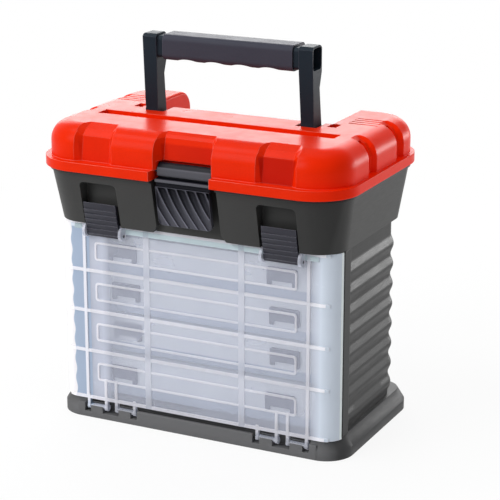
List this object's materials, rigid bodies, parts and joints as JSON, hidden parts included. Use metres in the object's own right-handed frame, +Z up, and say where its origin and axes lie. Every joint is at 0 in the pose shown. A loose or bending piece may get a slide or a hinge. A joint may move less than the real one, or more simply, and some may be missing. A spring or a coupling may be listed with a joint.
{
  "type": "tackle box",
  "caption": "Upright tackle box with a hinged lid and fold-down handle over a deep tub, and sliding compartment cases behind a clear drop-down front door.",
  "frame": {"origin": "centre of the bounding box's bottom face, on the ground under the middle of the lid rim", "axes": "+X to the right seen from the front, -Y out of the clear door, +Z up"},
  "size_m": [0.28, 0.185, 0.325],
  "materials": {
    "lid_plastic": "semi-gloss moulded plastic",
    "body_plastic": "matte moulded plastic",
    "hardware_plastic": "satin moulded plastic",
    "clear_plastic": "clear moulded plastic, slightly blue",
    "catch_plastic": "satin moulded plastic",
    "pin_steel": "plain steel wire"
  },
  "bodies": {
    "frame": {"base": "body_plastic", "side_panel_left": "body_plastic", "side_panel_right": "body_plastic", "back_panel": "body_plastic", "tub": "body_plastic", "lid_hinge_pins": "pin_steel"},
    "lid": {"lid": "lid_plastic", "latch_pin": "hardware_plastic", "handle_pins": "hardware_plastic"},
    "handle": {"handle_post_left": "hardware_plastic", "handle_post_right": "hardware_plastic", "handle_grip": "hardware_plastic"},
    "latch": {"latch": "hardware_plastic"},
    "door": {"door": "clear_plastic", "clip_pins": "hardware_plastic"},
    "clip_left": {"clip_left": "hardware_plastic"},
    "clip_right": {"clip_right": "hardware_plastic"},
    "case_1": {"case_box_1": "clear_plastic", "case_lid_1": "clear_plastic", "case_catches_1": "catch_plastic", "case_dividers_1": "clear_plastic", "case_pins_1": "pin_steel"},
    "case_2": {"case_box_2": "clear_plastic", "case_lid_2": "clear_plastic", "case_catches_2": "catch_plastic", "case_dividers_2": "clear_plastic", "case_pins_2": "pin_steel"},
    "case_3": {"case_box_3": "clear_plastic", "case_lid_3": "clear_plastic", "case_catches_3": "catch_plastic", "case_dividers_3": "clear_plastic", "case_pins_3": "pin_steel"},
    "case_4": {"case_box_4": "clear_plastic", "case_lid_4": "clear_plastic", "case_catches_4": "catch_plastic", "case_dividers_4": "clear_plastic", "case_pins_4": "pin_steel"}
  },
  "joints": [
    {"name": "lid_hinge", "type": "hinge", "parent": "frame", "child": "lid", "pos_m": [0, 0.0893, 0.2265], "axis": [-1, 0, 0], "range_deg": [0, 100]},
    {"name": "handle_pivot", "type": "hinge", "parent": "lid", "child": "handle", "pos_m": [0, 0.0065, 0.247], "axis": [-1, 0, 0], "range_deg": [0, 90]},
    {"name": "latch_hinge", "type": "hinge", "parent": "lid", "child": "latch", "pos_m": [0, -0.079, 0.2298], "axis": [-1, 0, 0], "range_deg": [0, 100]},
    {"name": "door_hinge", "type": "hinge", "parent": "frame", "child": "door", "pos_m": [0, -0.066, 0.0093], "axis": [1, 0, 0], "range_deg": [0, 80]},
    {"name": "clip_left_hinge", "type": "hinge", "parent": "door", "child": "clip_left", "pos_m": [-0.0815, -0.0708, 0.1666], "axis": [1, 0, 0], "range_deg": [0, 90]},
    {"name": "clip_right_hinge", "type": "hinge", "parent": "door", "child": "clip_right", "pos_m": [0.0815, -0.0708, 0.1666], "axis": [1, 0, 0], "range_deg": [0, 90]},
    {"name": "case_slide_1", "type": "slide", "parent": "frame", "child": "case_1", "axis": [0, -1, 0], "range_m": [0, 0.0211]},
    {"name": "case_slide_2", "type": "slide", "parent": "frame", "child": "case_2", "axis": [0, -1, 0], "range_m": [0, 0.0561]},
    {"name": "case_slide_3", "type": "slide", "parent": "frame", "child": "case_3", "axis": [0, -1, 0], "range_m": [0, 0.07]},
    {"name": "case_slide_4", "type": "slide", "parent": "frame", "child": "case_4", "axis": [0, -1, 0], "range_m": [0, 0.084]}
  ],
  "couplings": [
    {"joint": "case_slide_1", "follows": "door_hinge", "m_per_rad": 0.015},
    {"joint": "case_slide_2", "follows": "door_hinge", "m_per_rad": 0.04},
    {"joint": "case_slide_3", "follows": "door_hinge", "m_per_rad": 0.05},
    {"joint": "case_slide_4", "follows": "door_hinge", "m_per_rad": 0.06}
  ]
}
